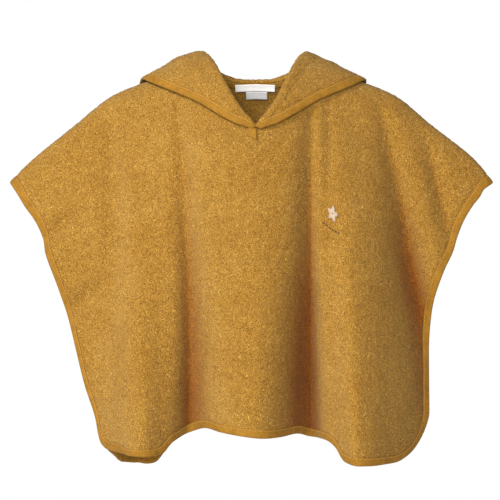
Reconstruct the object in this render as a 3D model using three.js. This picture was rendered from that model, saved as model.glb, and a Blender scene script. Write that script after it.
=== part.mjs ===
import * as THREE from "three";

// Hooded bath poncho of terry cloth, hanging as worn on a child's shoulders.
// Millimetres. X runs to the viewer's right, -Y faces the viewer, Z is up, origin at the base of the neck.
// Places on the cloth: p across from the centre, q down the front from the shoulder line, below 0 down the back.
const HALF_WIDTH = 336;
const FRONT_LENGTH = 470;
const BACK_LENGTH = 462;
const CORNER_RADIUS = 82;
const WALL = 3;
const GAP = 0.3;
const HOOD_SEAM_GAP = 0.45;
const BINDING_WIDTH = 10;
const SIDE_INSET = 12;
const SIDE_SEAM_GAP = 0.36;
const TAPE_HALF_LENGTH = 46;
const TAPE_WIDTH = 10;
const TAPE_WALL = 0.9;
const LABEL_WALL = 0.8;

// Fineness of the meshes.
const PANEL_ROWS = 20;
const ROW_POWER = 1.5;
const SHOULDER_COLUMNS = 12;
const NECK_COLUMNS = [0, 8, 17, 26, 35, 44, 50.5, 55.5, 58.5, 59.9];
const CORNER_STEPS = 5;
const HOOD_ROUNDS = 20;
const HOOD_STEPS = 26;
const TAPE_STEPS = 16;
const LABEL_STEPS = 6;
const TAB_STEPS = 4;

// Shoulder line: distance from the centre, x to the left and right, height, radius of the roll over the shoulder.
const SHOULDER = table(["along", "leftX", "rightX", "z", "roll"], [
  [0, 0, 0, 16, 44],
  [62, 62, 59, 13, 42],
  [100, 97, 94, 7, 38],
  [140, 134, 132, -6, 34],
  [180, 172, 169, -22, 30],
  [230, 212.5, 208, -54, 24],
  [290, 259.5, 257, -92, 17],
  [336, 293.5, 285, -124, 11],
]);

// Side edges: share of the drop, share of the way in from the tip's x to the hem's x.
const LEFT_EDGE = table(["drop", "share"], [
  [0, 0],
  [0.035, 0.07],
  [0.078, 0.144],
  [0.133, 0.254],
  [0.189, 0.323],
  [0.244, 0.354],
  [0.355, 0.471],
  [0.466, 0.573],
  [0.577, 0.649],
  [0.688, 0.729],
  [0.798, 0.834],
  [0.909, 0.889],
  [1, 1],
]);
const RIGHT_EDGE = table(["drop", "share"], [
  [0, 0],
  [0.023, 0.145],
  [0.051, 0.219],
  [0.08, 0.322],
  [0.136, 0.473],
  [0.193, 0.574],
  [0.25, 0.65],
  [0.307, 0.775],
  [0.364, 0.872],
  [0.42, 0.944],
  [0.477, 0.98],
  [0.59, 1],
  [1, 1],
]);

// Hem heights, before the lower corners are rounded.
const FRONT_HEM = table(["x", "z"], [
  [-171, -487],
  [-165, -467],
  [-155, -445],
  [-146, -443],
  [-123, -443],
  [-108, -441],
  [-98, -430],
  [-88, -424],
  [-78, -420],
  [-58, -413],
  [-40, -416],
  [-10, -420],
  [10, -422],
  [30, -422],
  [50, -421],
  [66, -426],
  [84, -427],
  [94, -434],
  [104, -449],
  [130, -453],
  [160, -453],
  [190, -454],
  [215, -453],
]);
const BACK_HEM = table(["x", "z"], [
  [-170, -501],
  [-158, -472],
  [-146, -466],
  [-133, -467],
  [-121, -464],
  [-112, -453],
  [-100, -437],
  [-85, -421],
  [-40, -422],
  [0, -434],
  [40, -425],
  [90, -434],
  [130, -462],
  [170, -456],
  [210, -451],
]);

// Folds: rows from the top down of x, z, half width to the left and right, and depth away from the viewer.
const FOLD_COLUMNS = ["x", "z", "left", "right", "depth"];
const FRONT_FOLDS = folds({
  leftLobe: [[-150, -60, 30, 30, 0], [-142, -250, 34, 34, -14], [-132, -460, 38, 28, -54]],
  leftValley: [
    [-88, -40, 10, 10, 4],
    [-80, -180, 12, 14, 13],
    [-76, -320, 13, 22, 24],
    [-80, -460, 13, 30, 34],
  ],
  leftSmallValley: [
    [-176, -34, 12, 12, 3],
    [-166, -150, 14, 14, 7],
    [-165, -300, 16, 16, 4],
    [-165, -400, 12, 12, 0],
  ],
  centreCrest: [[0, -60, 60, 60, 0], [0, -250, 50, 36, -8], [0, -460, 46, 32, -20]],
  rightValley: [
    [66, -50, 12, 8, 6],
    [65, -180, 18, 9, 17],
    [66, -320, 28, 10, 36],
    [68, -460, 34, 13, 50],
  ],
  rightSmallValley: [[86, -45, 7, 7, 3], [84, -130, 8, 8, 3], [84, -200, 8, 8, 0]],
  rightLobe: [[112, -60, 24, 40, 0], [114, -250, 24, 48, -26], [120, -460, 24, 52, -60]],
  rightSideValley: [
    [150, -40, 11, 11, 5],
    [170, -130, 18, 14, 15],
    [188, -230, 26, 16, 30],
    [208, -330, 28, 18, 30],
    [216, -460, 30, 20, 22],
  ],
  rightEdgeValley: [[204, -70, 10, 10, 4], [218, -130, 12, 12, 9], [234, -200, 12, 12, 5]],
  leftCreaseHigh: [[-200, -150, 16, 16, 0], [-240, -184, 18, 18, 5], [-266, -205, 16, 16, 2]],
  leftCreaseMiddle: [[-160, -222, 18, 18, 0], [-200, -260, 20, 20, 5], [-232, -288, 16, 16, 2]],
  leftCreaseLow: [[-156, -280, 14, 14, 0], [-180, -306, 16, 16, 4], [-204, -332, 14, 14, 0]],
});
const BACK_FOLDS = folds({
  leftLobe: [[-120, -60, 30, 30, 0], [-130, -250, 32, 32, 14], [-142, -460, 32, 32, 38]],
  leftValley: [[-60, -150, 14, 14, 0], [-66, -300, 16, 22, -14], [-72, -460, 18, 28, -26]],
  centreCrest: [[0, -150, 30, 30, 0], [-4, -300, 30, 30, 10], [-6, -460, 30, 30, 20]],
  rightValley: [[56, -150, 14, 14, 0], [60, -300, 22, 14, -16], [60, -460, 28, 16, -28]],
  rightLobe: [[120, -60, 30, 30, 0], [122, -250, 32, 32, 16], [134, -460, 34, 34, 40]],
  leftSideValley: [
    [-160, -40, 12, 12, -4],
    [-172, -150, 14, 14, -8],
    [-184, -260, 14, 14, -6],
    [-190, -340, 12, 12, 0],
  ],
  rightSideValley: [
    [164, -45, 12, 12, -4],
    [176, -150, 14, 14, -9],
    [190, -270, 14, 14, -6],
    [200, -340, 12, 12, 0],
  ],
});
const FOLD_TOP_FADE = 30;
const FOLD_END_FADE = 25;

// Hood: rows from the front point of the neck round to the centre back. Every place is p, q and lift off the
// panel: the neck seam and its rise, then the near, far and outer turns of the hanging cloth, and the mouth edge.
// The right half lies flatter: its lifts are multiplied by the last column.
const HOOD = table(
  ["round", "seamP", "seamQ", "rise", "inP", "inQ", "inH", "farP", "farQ", "farH", "outP", "outQ", "outH",
    "edgeP", "edgeQ", "edgeH", "flatter"],
  [
    [0.00, 1, 118, 4, 3.6, 118, 5, 4.2, 118.4, 5.5, 4.8, 118.7, 5, 5.4, 119, 4, 1],
    [0.05, 8.5, 110, 7, 11, 111.2, 8.5, 13, 112.6, 9, 14.6, 114.2, 8, 16, 116, 7, 1],
    [0.10, 17, 101, 9, 20, 103.6, 10, 22, 106.2, 10, 24, 109, 9, 26, 112.5, 8, 0.9],
    [0.20, 30.5, 80, 13, 36, 85.5, 14, 40, 90, 13, 44, 94.5, 11, 48, 99, 9, 0.8],
    [0.31, 43.5, 50, 16, 52, 56, 16, 60.5, 62, 15, 69, 68, 12.5, 77, 75, 9, 0.75],
    [0.42, 54, 21, 17, 68, 26, 17, 81.5, 32, 15, 94.5, 39.5, 12, 108, 48, 9, 0.75],
    [0.52, 59.5, 7, 18, 79, 4, 18, 97, 5, 14, 114, 11, 10, 130, 20, 8, 0.75],
    [0.60, 59.5, -8, 18, 83, -12, 17, 103, -14, 12, 121, -14, 9, 138, -8, 8, 0.8],
    [0.69, 55, -23, 14, 82, -46, 9, 112, -56, 10, 127, -46, 13, 138, -34, 21, 0.9],
    [0.79, 45, -33, 8, 68, -90, 7, 94, -118, 11, 106, -94, 19, 117, -66, 27, 1],
    [0.90, 23, -43, 5, 36, -122, 7, 54, -186, 15, 58, -140, 26, 63, -94, 29, 1],
    [1.00, 0, -45, 4, 0, -134, 7, 0, -216, 16, 0, -158, 28, 0, -104, 30, 1],
  ],
);
const SEAM_LEAN = 0.5;
const NECK_POINT_CLEARANCE = 1.8;
const FIRST_ROUND = 0.03;
const LAST_ROUND = 0.998;

// Pieces laid on a panel, in places p and q.
const TAB_CORNERS = { topLeft: [-9.5, 121.5], topRight: [0.7, 121.5], lowRight: [0.7, 132], lowLeft: [-8.8, 126] };
const TAB_WALL = 1.4;
const TAPE_OVER_SEAM = 3;
const NECK_LABEL = { left: -25.5, right: 25.5, top: -42, low: -53 };
const SIZE_LABEL = { left: -12.5, right: 15.5, top: -53.6, low: -65 };

// Colours.
const TERRY = { color: 0xb07a26, roughness: 0.95 };
const BINDING = { color: 0xb0771f, roughness: 0.8 };
const TAPE = { color: 0xa8742a, roughness: 0.9 };
const LABEL = { color: 0xf2efe8, roughness: 0.7 };

function table(names, rows) {
  const columns = {};
  names.forEach((name, k) => {
    columns[name] = rows.map((row) => row[k]);
  });
  return columns;
}

function clamp(value, low, high) {
  return Math.min(Math.max(value, low), high);
}

function smooth(value) {
  const t = clamp(value, 0, 1);
  return t * t * (3 - 2 * t);
}

// Smooth curve through points with rising xs, held level past the ends.
function curve(xs, ys) {
  const last = xs.length - 1;
  const slopes = ys.map((y, k) => {
    const before = Math.max(k - 1, 0);
    const after = Math.min(k + 1, last);
    return (ys[after] - ys[before]) / (xs[after] - xs[before]);
  });
  return (value) => {
    const x = clamp(value, xs[0], xs[last]);
    let k = 0;
    while (k < last - 1 && x > xs[k + 1]) {
      k += 1;
    }
    const step = xs[k + 1] - xs[k];
    const u = (x - xs[k]) / step;
    const rest = 1 - u;
    return (1 + 2 * u) * rest * rest * ys[k] + u * rest * rest * step * slopes[k]
      + u * u * (3 - 2 * u) * ys[k + 1] - u * u * rest * step * slopes[k + 1];
  };
}

function folds(rowsByName) {
  return Object.values(rowsByName).map((rows) => {
    const fold = table(FOLD_COLUMNS, rows);
    const down = fold.z.map((z) => -z);
    return {
      top: fold.z[0],
      low: fold.z[fold.z.length - 1],
      x: curve(down, fold.x),
      left: curve(down, fold.left),
      right: curve(down, fold.right),
      depth: curve(down, fold.depth),
    };
  });
}

function foldDepth(list, x, z) {
  let total = 0;
  for (const fold of list) {
    const shownTop = smooth((fold.top + FOLD_END_FADE - z) / FOLD_TOP_FADE);
    const shownLow = smooth((z - fold.low + FOLD_END_FADE) / FOLD_END_FADE);
    const beside = x - fold.x(-z);
    const away = beside / (beside < 0 ? fold.left(-z) : fold.right(-z));
    total += fold.depth(-z) * shownTop * shownLow * Math.exp(-away * away);
  }
  return total;
}

const shoulderLeft = curve(SHOULDER.along, SHOULDER.leftX);
const shoulderRight = curve(SHOULDER.along, SHOULDER.rightX);
const shoulderZ = curve(SHOULDER.along, SHOULDER.z);
const shoulderRoll = curve(SHOULDER.along, SHOULDER.roll);
const leftShare = curve(LEFT_EDGE.drop, LEFT_EDGE.share);
const rightShare = curve(RIGHT_EDGE.drop, RIGHT_EDGE.share);

const SIDES = {
  front: {
    facing: -1,
    length: FRONT_LENGTH,
    leftX: -167.8,
    middleX: 2,
    rightX: 209.4,
    hem: curve(FRONT_HEM.x, FRONT_HEM.z),
    folds: FRONT_FOLDS,
    body: { base: 24, rise: 54, width: 125 },
    edgePull: 4,
  },
  back: {
    facing: 1,
    length: BACK_LENGTH,
    leftX: -166,
    middleX: 6,
    rightX: 206.4,
    hem: curve(BACK_HEM.x, BACK_HEM.z),
    folds: BACK_FOLDS,
    body: { base: 24, rise: 46, width: 120 },
    edgePull: 6,
  },
};
const SIDE_BLEND = 0.25;
const BODY_GROWTH = 170;
const EDGE_START = 0.8;
const EDGE_GROWTH = 300;
const FOLD_GROWTH = 60;

// One point of a row of cloth: s runs from -1 at the left edge to 1 at the right edge.
function rowPoint(side, q, s) {
  const along = Math.abs(s) * HALF_WIDTH;
  const radius = shoulderRoll(along);
  const topX = s < 0 ? -shoulderLeft(along) : shoulderRight(along);
  const topZ = shoulderZ(along);
  const rolled = radius * (1 - Math.exp(-q / radius));
  const drop = (q - rolled) / (side.length - radius);
  const hemX = side.middleX + Math.abs(s) * ((s < 0 ? side.leftX : side.rightX) - side.middleX);
  const toRight = smooth((s + SIDE_BLEND) / (2 * SIDE_BLEND));
  const share = leftShare(drop) * (1 - toRight) + rightShare(drop) * toRight;
  const x = topX + (hemX - topX) * share;
  const z = topZ + (side.hem(hemX) - topZ) * drop;
  const full = side.body.base + side.body.rise * Math.exp(-((x / side.body.width) ** 2));
  const body = rolled + (Math.max(full, radius) - radius) * smooth(q / BODY_GROWTH);
  const edge = smooth((Math.abs(s) - EDGE_START) / (1 - EDGE_START)) * smooth(q / EDGE_GROWTH);
  const depth = foldDepth(side.folds, x, z) * smooth(q / FOLD_GROWTH);
  return new THREE.Vector3(x, side.facing * (body - side.edgePull * edge) + depth, z);
}

// Points spread evenly along a path.
function spread(path, count) {
  const run = [0];
  for (let k = 1; k < path.length; k += 1) {
    run.push(run[k - 1] + path[k].distanceTo(path[k - 1]));
  }
  const out = [];
  let k = 0;
  for (let n = 0; n <= count; n += 1) {
    const at = (run[run.length - 1] * n) / count;
    while (k < path.length - 2 && run[k + 1] < at) {
      k += 1;
    }
    out.push(path[k].clone().lerp(path[k + 1], (at - run[k]) / (run[k + 1] - run[k])));
  }
  return out;
}

const NET_ROWS = 110;
const NET_COLUMNS = 224;
const NET_SAMPLES = 350;

function clothNet(side) {
  const net = [];
  for (let j = 0; j <= NET_ROWS; j += 1) {
    const q = side.length * (j / NET_ROWS) ** ROW_POWER;
    const half = (hand) => {
      const path = [];
      for (let k = 0; k <= NET_SAMPLES; k += 1) {
        path.push(rowPoint(side, q, (hand * k) / NET_SAMPLES));
      }
      return spread(path, NET_COLUMNS / 2);
    };
    net.push([...half(-1).slice(1).reverse(), ...half(1)]);
  }
  return net;
}

SIDES.front.net = clothNet(SIDES.front);
SIDES.back.net = clothNet(SIDES.back);

function splineWeights(u) {
  return [
    (((2 - u) * u - 1) * u) / 2,
    (u * u * (3 * u - 5) + 2) / 2,
    (((4 - 3 * u) * u + 1) * u) / 2,
    ((u - 1) * u * u) / 2,
  ];
}

// Middle of the cloth at a place.
function cloth(p, q) {
  const side = q >= 0 ? SIDES.front : SIDES.back;
  const row = NET_ROWS * clamp(Math.abs(q) / side.length, 0, 1) ** (1 / ROW_POWER);
  const column = clamp((p + HALF_WIDTH) / (2 * HALF_WIDTH), 0, 1) * NET_COLUMNS;
  const j = Math.min(Math.floor(row), NET_ROWS - 1);
  const i = Math.min(Math.floor(column), NET_COLUMNS - 1);
  const down = splineWeights(row - j);
  const across = splineWeights(column - i);
  const point = new THREE.Vector3();
  for (let b = 0; b < 4; b += 1) {
    const netRow = side.net[clamp(j + b - 1, 0, NET_ROWS)];
    for (let a = 0; a < 4; a += 1) {
      point.addScaledVector(netRow[clamp(i + a - 1, 0, NET_COLUMNS)], down[b] * across[a]);
    }
  }
  return point;
}

const CLOSE_FEEL = 1.5;
const WIDE_FEEL = 12;
const WIDE_LIFT = 8;

// Direction straight out of the cloth, away from the body, felt over a distance to each side.
function outward(p, q, feel) {
  const right = Math.min(p + feel, HALF_WIDTH);
  const left = Math.max(p - feel, -HALF_WIDTH);
  const across = cloth(right, q).sub(cloth(left, q));
  const down = cloth(p, q + feel).sub(cloth(p, q - feel));
  return down.cross(across).normalize();
}

function lifted(p, q, lift, feel = CLOSE_FEEL) {
  return cloth(p, q).addScaledVector(outward(p, q, feel), lift);
}

// Closed body between two nets of points of one size. A looped body joins its last line to its first.
function slab(outer, inner, looped = false) {
  const lines = outer.length;
  const width = outer[0].length;
  const positions = [];
  for (const net of [outer, inner]) {
    for (const line of net) {
      line.forEach((point) => positions.push(point.x, point.y, point.z));
    }
  }
  const at = (layer, i, j) => (layer * lines + (i % lines)) * width + j;
  const point = (k) => new THREE.Vector3().fromArray(positions, 3 * k);
  const index = [];
  const quad = (a, b, c, d) => {
    const cutAC = point(a).distanceTo(point(c)) <= point(b).distanceTo(point(d));
    index.push(...(cutAC ? [a, b, c, a, c, d] : [a, b, d, b, c, d]));
  };
  const lastLine = looped ? lines : lines - 1;
  for (let i = 0; i < lastLine; i += 1) {
    for (let j = 0; j < width - 1; j += 1) {
      quad(at(0, i, j), at(0, i, j + 1), at(0, i + 1, j + 1), at(0, i + 1, j));
      quad(at(1, i, j), at(1, i + 1, j), at(1, i + 1, j + 1), at(1, i, j + 1));
    }
    quad(at(0, i, 0), at(0, i + 1, 0), at(1, i + 1, 0), at(1, i, 0));
    quad(at(0, i + 1, width - 1), at(0, i, width - 1), at(1, i, width - 1), at(1, i + 1, width - 1));
  }
  if (!looped) {
    for (let j = 0; j < width - 1; j += 1) {
      quad(at(0, 0, j + 1), at(0, 0, j), at(1, 0, j), at(1, 0, j + 1));
      quad(at(0, lines - 1, j), at(0, lines - 1, j + 1), at(1, lines - 1, j + 1), at(1, lines - 1, j));
    }
  }
  return facingOut(positions, index);
}

// Turns every triangle over when the body would be inside out.
function facingOut(positions, index) {
  const corner = (k) => new THREE.Vector3().fromArray(positions, 3 * index[k]);
  let volume = 0;
  for (let k = 0; k < index.length; k += 3) {
    volume += corner(k).dot(corner(k + 1).cross(corner(k + 2)));
  }
  const ordered = volume < 0 ? index.slice().reverse() : index;
  const geometry = new THREE.BufferGeometry();
  geometry.setAttribute("position", new THREE.Float32BufferAttribute(positions, 3));
  geometry.setIndex(ordered);
  return geometry;
}

function node(name, geometry, look) {
  geometry.computeVertexNormals();
  const mesh = new THREE.Mesh(geometry, new THREE.MeshStandardMaterial(look));
  mesh.name = name;
  return mesh;
}

// A flat piece laid on a panel: lines of places, with the lift of its middle and its thickness.
function laid(name, lines, lift, thickness, look, looped = false) {
  const layer = (offset) => lines.map((line) => line.map(([p, q]) => lifted(p, q, offset)));
  return node(name, slab(layer(lift + thickness / 2), layer(lift - thickness / 2), looped), look);
}

const seamP = curve(HOOD.round, HOOD.seamP);
const seamQ = curve(HOOD.round, HOOD.seamQ);
const NECK_LINE_SAMPLES = 400;
const neckLine = Array.from({ length: NECK_LINE_SAMPLES + 1 }, (_, k) => {
  const round = k / NECK_LINE_SAMPLES;
  return [seamP(round), seamQ(round)];
});

// Place where the neck line crosses the shoulder line, and the neck line's depth below it at a given p.
const shoulderCross = neckLine.find(([, q]) => q <= 0)[0];

function neckDepth(facing, p) {
  const half = neckLine.filter(([, q]) => -facing * q >= 0);
  const ordered = facing < 0 ? half : half.slice().reverse();
  const k = ordered.findIndex(([at]) => at >= p);
  if (k < 0) {
    return 0;
  }
  if (k === 0) {
    return Math.abs(ordered[0][1]);
  }
  const [p0, q0] = ordered[k - 1];
  const [p1, q1] = ordered[k];
  return Math.abs(q0 + ((q1 - q0) * (p - p0)) / (p1 - p0));
}

const STRAIGHT_HALF = HALF_WIDTH - CORNER_RADIUS;

// Border of a panel from the middle of the hem to the side edge, with the border of its binding beside it.
function borderHalf(side) {
  const straight = side.length - CORNER_RADIUS;
  const columns = [...NECK_COLUMNS];
  for (let k = 0; k <= SHOULDER_COLUMNS; k += 1) {
    columns.push(shoulderCross + ((STRAIGHT_HALF - shoulderCross) * k) / SHOULDER_COLUMNS);
  }
  const border = columns.map((p) => ({
    panel: [p, side.length - BINDING_WIDTH],
    seam: [p, side.length - BINDING_WIDTH + GAP],
    edge: [p, side.length],
  }));
  const corner = (angle, radiusP, radiusQ) => [
    STRAIGHT_HALF + radiusP * Math.sin(angle),
    straight + radiusQ * Math.cos(angle),
  ];
  for (let k = 1; k <= CORNER_STEPS; k += 1) {
    const angle = (Math.PI / 2) * (k / CORNER_STEPS);
    border.push({
      panel: corner(angle, CORNER_RADIUS - SIDE_INSET, CORNER_RADIUS - BINDING_WIDTH),
      seam: corner(angle, CORNER_RADIUS - SIDE_INSET + SIDE_SEAM_GAP, CORNER_RADIUS - BINDING_WIDTH + GAP),
      edge: corner(angle, CORNER_RADIUS, CORNER_RADIUS),
    });
  }
  return border;
}

function columnRows(top, low) {
  return Array.from({ length: PANEL_ROWS + 1 }, (_, k) => top + (low - top) * (k / PANEL_ROWS) ** ROW_POWER);
}

function panel(name, side) {
  const half = borderHalf(side).map(({ panel: [p, low] }) => {
    const top = p < shoulderCross ? neckDepth(side.facing, p) : GAP / 2;
    return columnRows(top, low).map((q) => [p, -side.facing * q]);
  });
  const left = half.slice(1).reverse().map((line) => line.map(([p, q]) => [-p, q]));
  return laid(name, [...left, ...half], 0, WALL, TERRY);
}

// Side edge and hem of one half of a panel's binding, from the shoulder tip to the middle of the hem.
function bindingLines(side) {
  const hem = borderHalf(side).map(({ seam, edge }) => [seam, edge]).reverse();
  const straight = side.length - CORNER_RADIUS;
  const sideLines = columnRows(GAP / 2, straight).slice(1, -1).map((q) => [
    [HALF_WIDTH - SIDE_INSET + SIDE_SEAM_GAP, q],
    [HALF_WIDTH, q],
  ]);
  return [...sideLines, ...hem].map((line) => line.map(([p, q]) => [p, -side.facing * q]));
}

function edgeBinding() {
  const mirrored = (lines) => lines.map((line) => line.map(([p, q]) => [-p, q]));
  const tip = [[HALF_WIDTH - SIDE_INSET + SIDE_SEAM_GAP, 0], [HALF_WIDTH, 0]];
  const front = bindingLines(SIDES.front);
  const back = bindingLines(SIDES.back);
  const right = [tip, ...front];
  const left = mirrored(front).slice(0, -1).reverse();
  const leftBack = mirrored([tip, ...back]);
  const rightBack = back.slice(0, -1).reverse();
  return laid("edge_binding", [...right, ...left, ...leftBack, ...rightBack], 0, WALL, BINDING, true);
}

const hoodCurves = Object.fromEntries(
  Object.entries(HOOD).map(([name, values]) => [name, curve(HOOD.round, values)]),
);

const ROUND_STEP = 0.01;
const MOST_OVER_SEAM = 9;
const MOST_CREST_OUT = 1.5;
const FULL_RISE = 5;
const TURN_SHARES = [0.17, 0.17, 0.3];

// Turning points of the hood's section at one place round the neck, as p, q and lift.
function hoodControls(hand, round) {
  const at = {};
  for (const name of Object.keys(HOOD)) {
    at[name] = hoodCurves[name](round);
  }
  const before = Math.max(round - ROUND_STEP, 0);
  const after = Math.min(round + ROUND_STEP, 1);
  const along = new THREE.Vector2(seamP(after) - seamP(before), seamQ(after) - seamQ(before)).normalize();
  const out = new THREE.Vector2(at.inP - at.seamP, at.inQ - at.seamQ);
  const reach = out.length();
  out.normalize();
  const stand = (toHole, toOut, lift) => [
    at.seamP + along.y * toHole + out.x * toOut,
    at.seamQ - along.x * toHole + out.y * toOut,
    lift,
  ];
  const flatter = hand > 0 ? at.flatter : 1;
  const turn = (name) => [at[`${name}P`], at[`${name}Q`], at[`${name}H`] * flatter];
  const near = turn("in");
  const far = turn("far");
  const outer = turn("out");
  const clear = WALL / 2 + HOOD_SEAM_GAP;
  return [
    stand(clear, 0, -WALL / 4),
    stand(clear + SEAM_LEAN / 2, 0, at.rise * 0.28),
    stand(clear + SEAM_LEAN, 0, at.rise * 0.68),
    stand(clear, Math.min(reach * 0.1, MOST_CREST_OUT), at.rise + 1),
    stand(0, Math.min(reach * 0.45, MOST_OVER_SEAM), at.rise * 0.55 + near[2] * 0.45 + Math.min(at.rise, FULL_RISE) * 0.3),
    near,
    far.map((value, c) => value - TURN_SHARES[c] * (outer[c] - near[c])),
    far.map((value, c) => value + TURN_SHARES[c] * (outer[c] - near[c])),
    outer,
    turn("edge"),
  ];
}

const HOOD_SPANS = 9;

// Place of the hood before its turns are softened: u counts turning points from the neck seam to the mouth edge.
function sharpPlace(controls, u) {
  const k = clamp(Math.floor(u), 0, HOOD_SPANS - 1);
  const before = k > 0 ? controls[k - 1] : controls[0].map((value, c) => 2 * value - controls[1][c]);
  const after = k < HOOD_SPANS - 1
    ? controls[k + 2]
    : controls[HOOD_SPANS].map((value, c) => 2 * value - controls[HOOD_SPANS - 1][c]);
  const weights = splineWeights(u - k);
  return new THREE.Vector3(...[0, 1, 2].map((c) => weights[0] * before[c] + weights[1] * controls[k][c]
    + weights[2] * controls[k + 1][c] + weights[3] * after[c]));
}

const SOFT_REACH = 0.3;
const SOFT_SHARES = [-1, -0.5, 0, 0.5, 1];

// Middle of the hood, where each turn is the mean of the places around it.
function hoodPoint(hand, round, u) {
  const controls = hoodControls(hand, round);
  const reach = Math.min(SOFT_REACH, u, HOOD_SPANS - u);
  const place = new THREE.Vector3();
  for (const share of SOFT_SHARES) {
    place.addScaledVector(sharpPlace(controls, u + share * reach), 1 / SOFT_SHARES.length);
  }
  const feel = CLOSE_FEEL + (WIDE_FEEL - CLOSE_FEEL) * smooth(place.z / WIDE_LIFT);
  return lifted(hand * clearOfCentre(place.x, round), place.y, place.z, feel);
}

// The two halves keep off each other, further at the front point of the neck, where they stand on edge.
function clearOfCentre(p, round) {
  return Math.max(p, round < 0.5 ? NECK_POINT_CLEARANCE : GAP / 2);
}

const WALL_ROUND_STEP = 0.004;
const WALL_SPAN_STEP = 0.02;

function hoodWall(hand, round, u, side) {
  const along = hoodPoint(hand, Math.min(round + WALL_ROUND_STEP, 1), u)
    .sub(hoodPoint(hand, Math.max(round - WALL_ROUND_STEP, 0), u));
  const down = hoodPoint(hand, round, Math.min(u + WALL_SPAN_STEP, HOOD_SPANS))
    .sub(hoodPoint(hand, round, Math.max(u - WALL_SPAN_STEP, 0)));
  const out = along.cross(down).normalize();
  return hoodPoint(hand, round, u).addScaledVector(out, (hand * side * WALL) / 2);
}

const SECTION_STEP = 0.05;
const TURN_LENGTH = 40;

// Running length of the hood's section at one place round the neck. A turn of one radian counts as extra length.
function sectionRun(hand, round, turnLength) {
  const run = [0];
  let point = hoodPoint(hand, round, 0);
  let heading = null;
  for (let k = 1; k <= HOOD_SPANS / SECTION_STEP; k += 1) {
    const next = hoodPoint(hand, round, k * SECTION_STEP);
    const step = next.clone().sub(point);
    const turned = heading ? step.angleTo(heading) : 0;
    run.push(run[k - 1] + step.length() + turned * turnLength);
    point = next;
    heading = step;
  }
  return run;
}

// Place along the section where the running length reaches a value.
function sectionPlace(run, length) {
  let k = 1;
  while (k < run.length - 1 && run[k] < length) {
    k += 1;
  }
  return (k - 1 + clamp((length - run[k - 1]) / (run[k] - run[k - 1]), 0, 1)) * SECTION_STEP;
}

// The binding takes its width off the mouth edge, but leaves part of a short section to the terry.
const LEAST_TERRY = 0.25;

function terryEnd(hand, round, gap) {
  const run = sectionRun(hand, round, 0);
  const total = run[run.length - 1];
  return sectionPlace(run, Math.max(total - BINDING_WIDTH, total * LEAST_TERRY) - gap);
}

// Steps from the neck seam to the binding, closer together in the turns.
function hoodSteps(hand, round) {
  const run = sectionRun(hand, round, TURN_LENGTH);
  const end = terryEnd(hand, round, GAP) / SECTION_STEP;
  const whole = Math.min(Math.floor(end), run.length - 2);
  const total = run[whole] + (run[whole + 1] - run[whole]) * (end - whole);
  return Array.from({ length: HOOD_STEPS + 1 }, (_, k) => sectionPlace(run, (total * k) / HOOD_STEPS));
}

function hoodRounds(first, last) {
  return Array.from({ length: HOOD_ROUNDS + 1 }, (_, k) => first + ((last - first) * k) / HOOD_ROUNDS);
}

function hoodHalf(name, hand) {
  const layer = (side) => hoodRounds(FIRST_ROUND, LAST_ROUND)
    .map((round) => hoodSteps(hand, round).map((u) => hoodWall(hand, round, u, side)));
  return node(name, slab(layer(1), layer(-1)), TERRY);
}

function hoodBinding() {
  const rounds = hoodRounds(FIRST_ROUND, LAST_ROUND);
  const lines = (hand, list, side) => list.map((round) => {
    const start = terryEnd(hand, round, 0);
    return [0, 0.5, 1].map((share) => hoodWall(hand, round, start + (HOOD_SPANS - start) * share, side));
  });
  const layer = (side) => [
    ...lines(-1, rounds, side),
    ...lines(1, rounds.slice().reverse(), side),
  ];
  return node("hood_binding", slab(layer(1), layer(-1)), BINDING);
}

function tab() {
  const { topLeft, topRight, lowRight, lowLeft } = TAB_CORNERS;
  const between = (a, b, share) => [a[0] + (b[0] - a[0]) * share, a[1] + (b[1] - a[1]) * share];
  const lines = Array.from({ length: TAB_STEPS + 1 }, (_, k) => {
    const share = k / TAB_STEPS;
    return [between(topRight, topLeft, share), between(lowRight, lowLeft, share)];
  });
  return laid("neck_tab", lines, (WALL + TAB_WALL) / 2 + GAP, TAB_WALL, BINDING);
}

function neckTape() {
  const lines = [];
  for (let k = 0; k <= TAPE_STEPS; k += 1) {
    const p = TAPE_HALF_LENGTH * ((2 * k) / TAPE_STEPS - 1);
    const top = TAPE_OVER_SEAM - neckDepth(1, Math.abs(p));
    lines.push([[p, top], [p, top - TAPE_WIDTH]]);
  }
  return laid("neck_tape", lines, -(WALL / 2 + GAP + TAPE_WALL / 2), TAPE_WALL, TAPE);
}

function label(name, { left, right, top, low }) {
  const lift = -(WALL / 2 + GAP + TAPE_WALL + GAP + LABEL_WALL / 2);
  const lines = Array.from({ length: LABEL_STEPS + 1 }, (_, k) => {
    const p = left + ((right - left) * k) / LABEL_STEPS;
    return [[p, top], [p, low]];
  });
  return laid(name, lines, lift, LABEL_WALL, LABEL);
}

const poncho = new THREE.Group();
poncho.add(
  panel("front_panel", SIDES.front),
  panel("back_panel", SIDES.back),
  edgeBinding(),
  hoodHalf("hood_left", -1),
  hoodHalf("hood_right", 1),
  hoodBinding(),
  tab(),
  neckTape(),
  label("neck_label", NECK_LABEL),
  label("size_label", SIZE_LABEL),
);

export default poncho;
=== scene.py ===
import math

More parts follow.
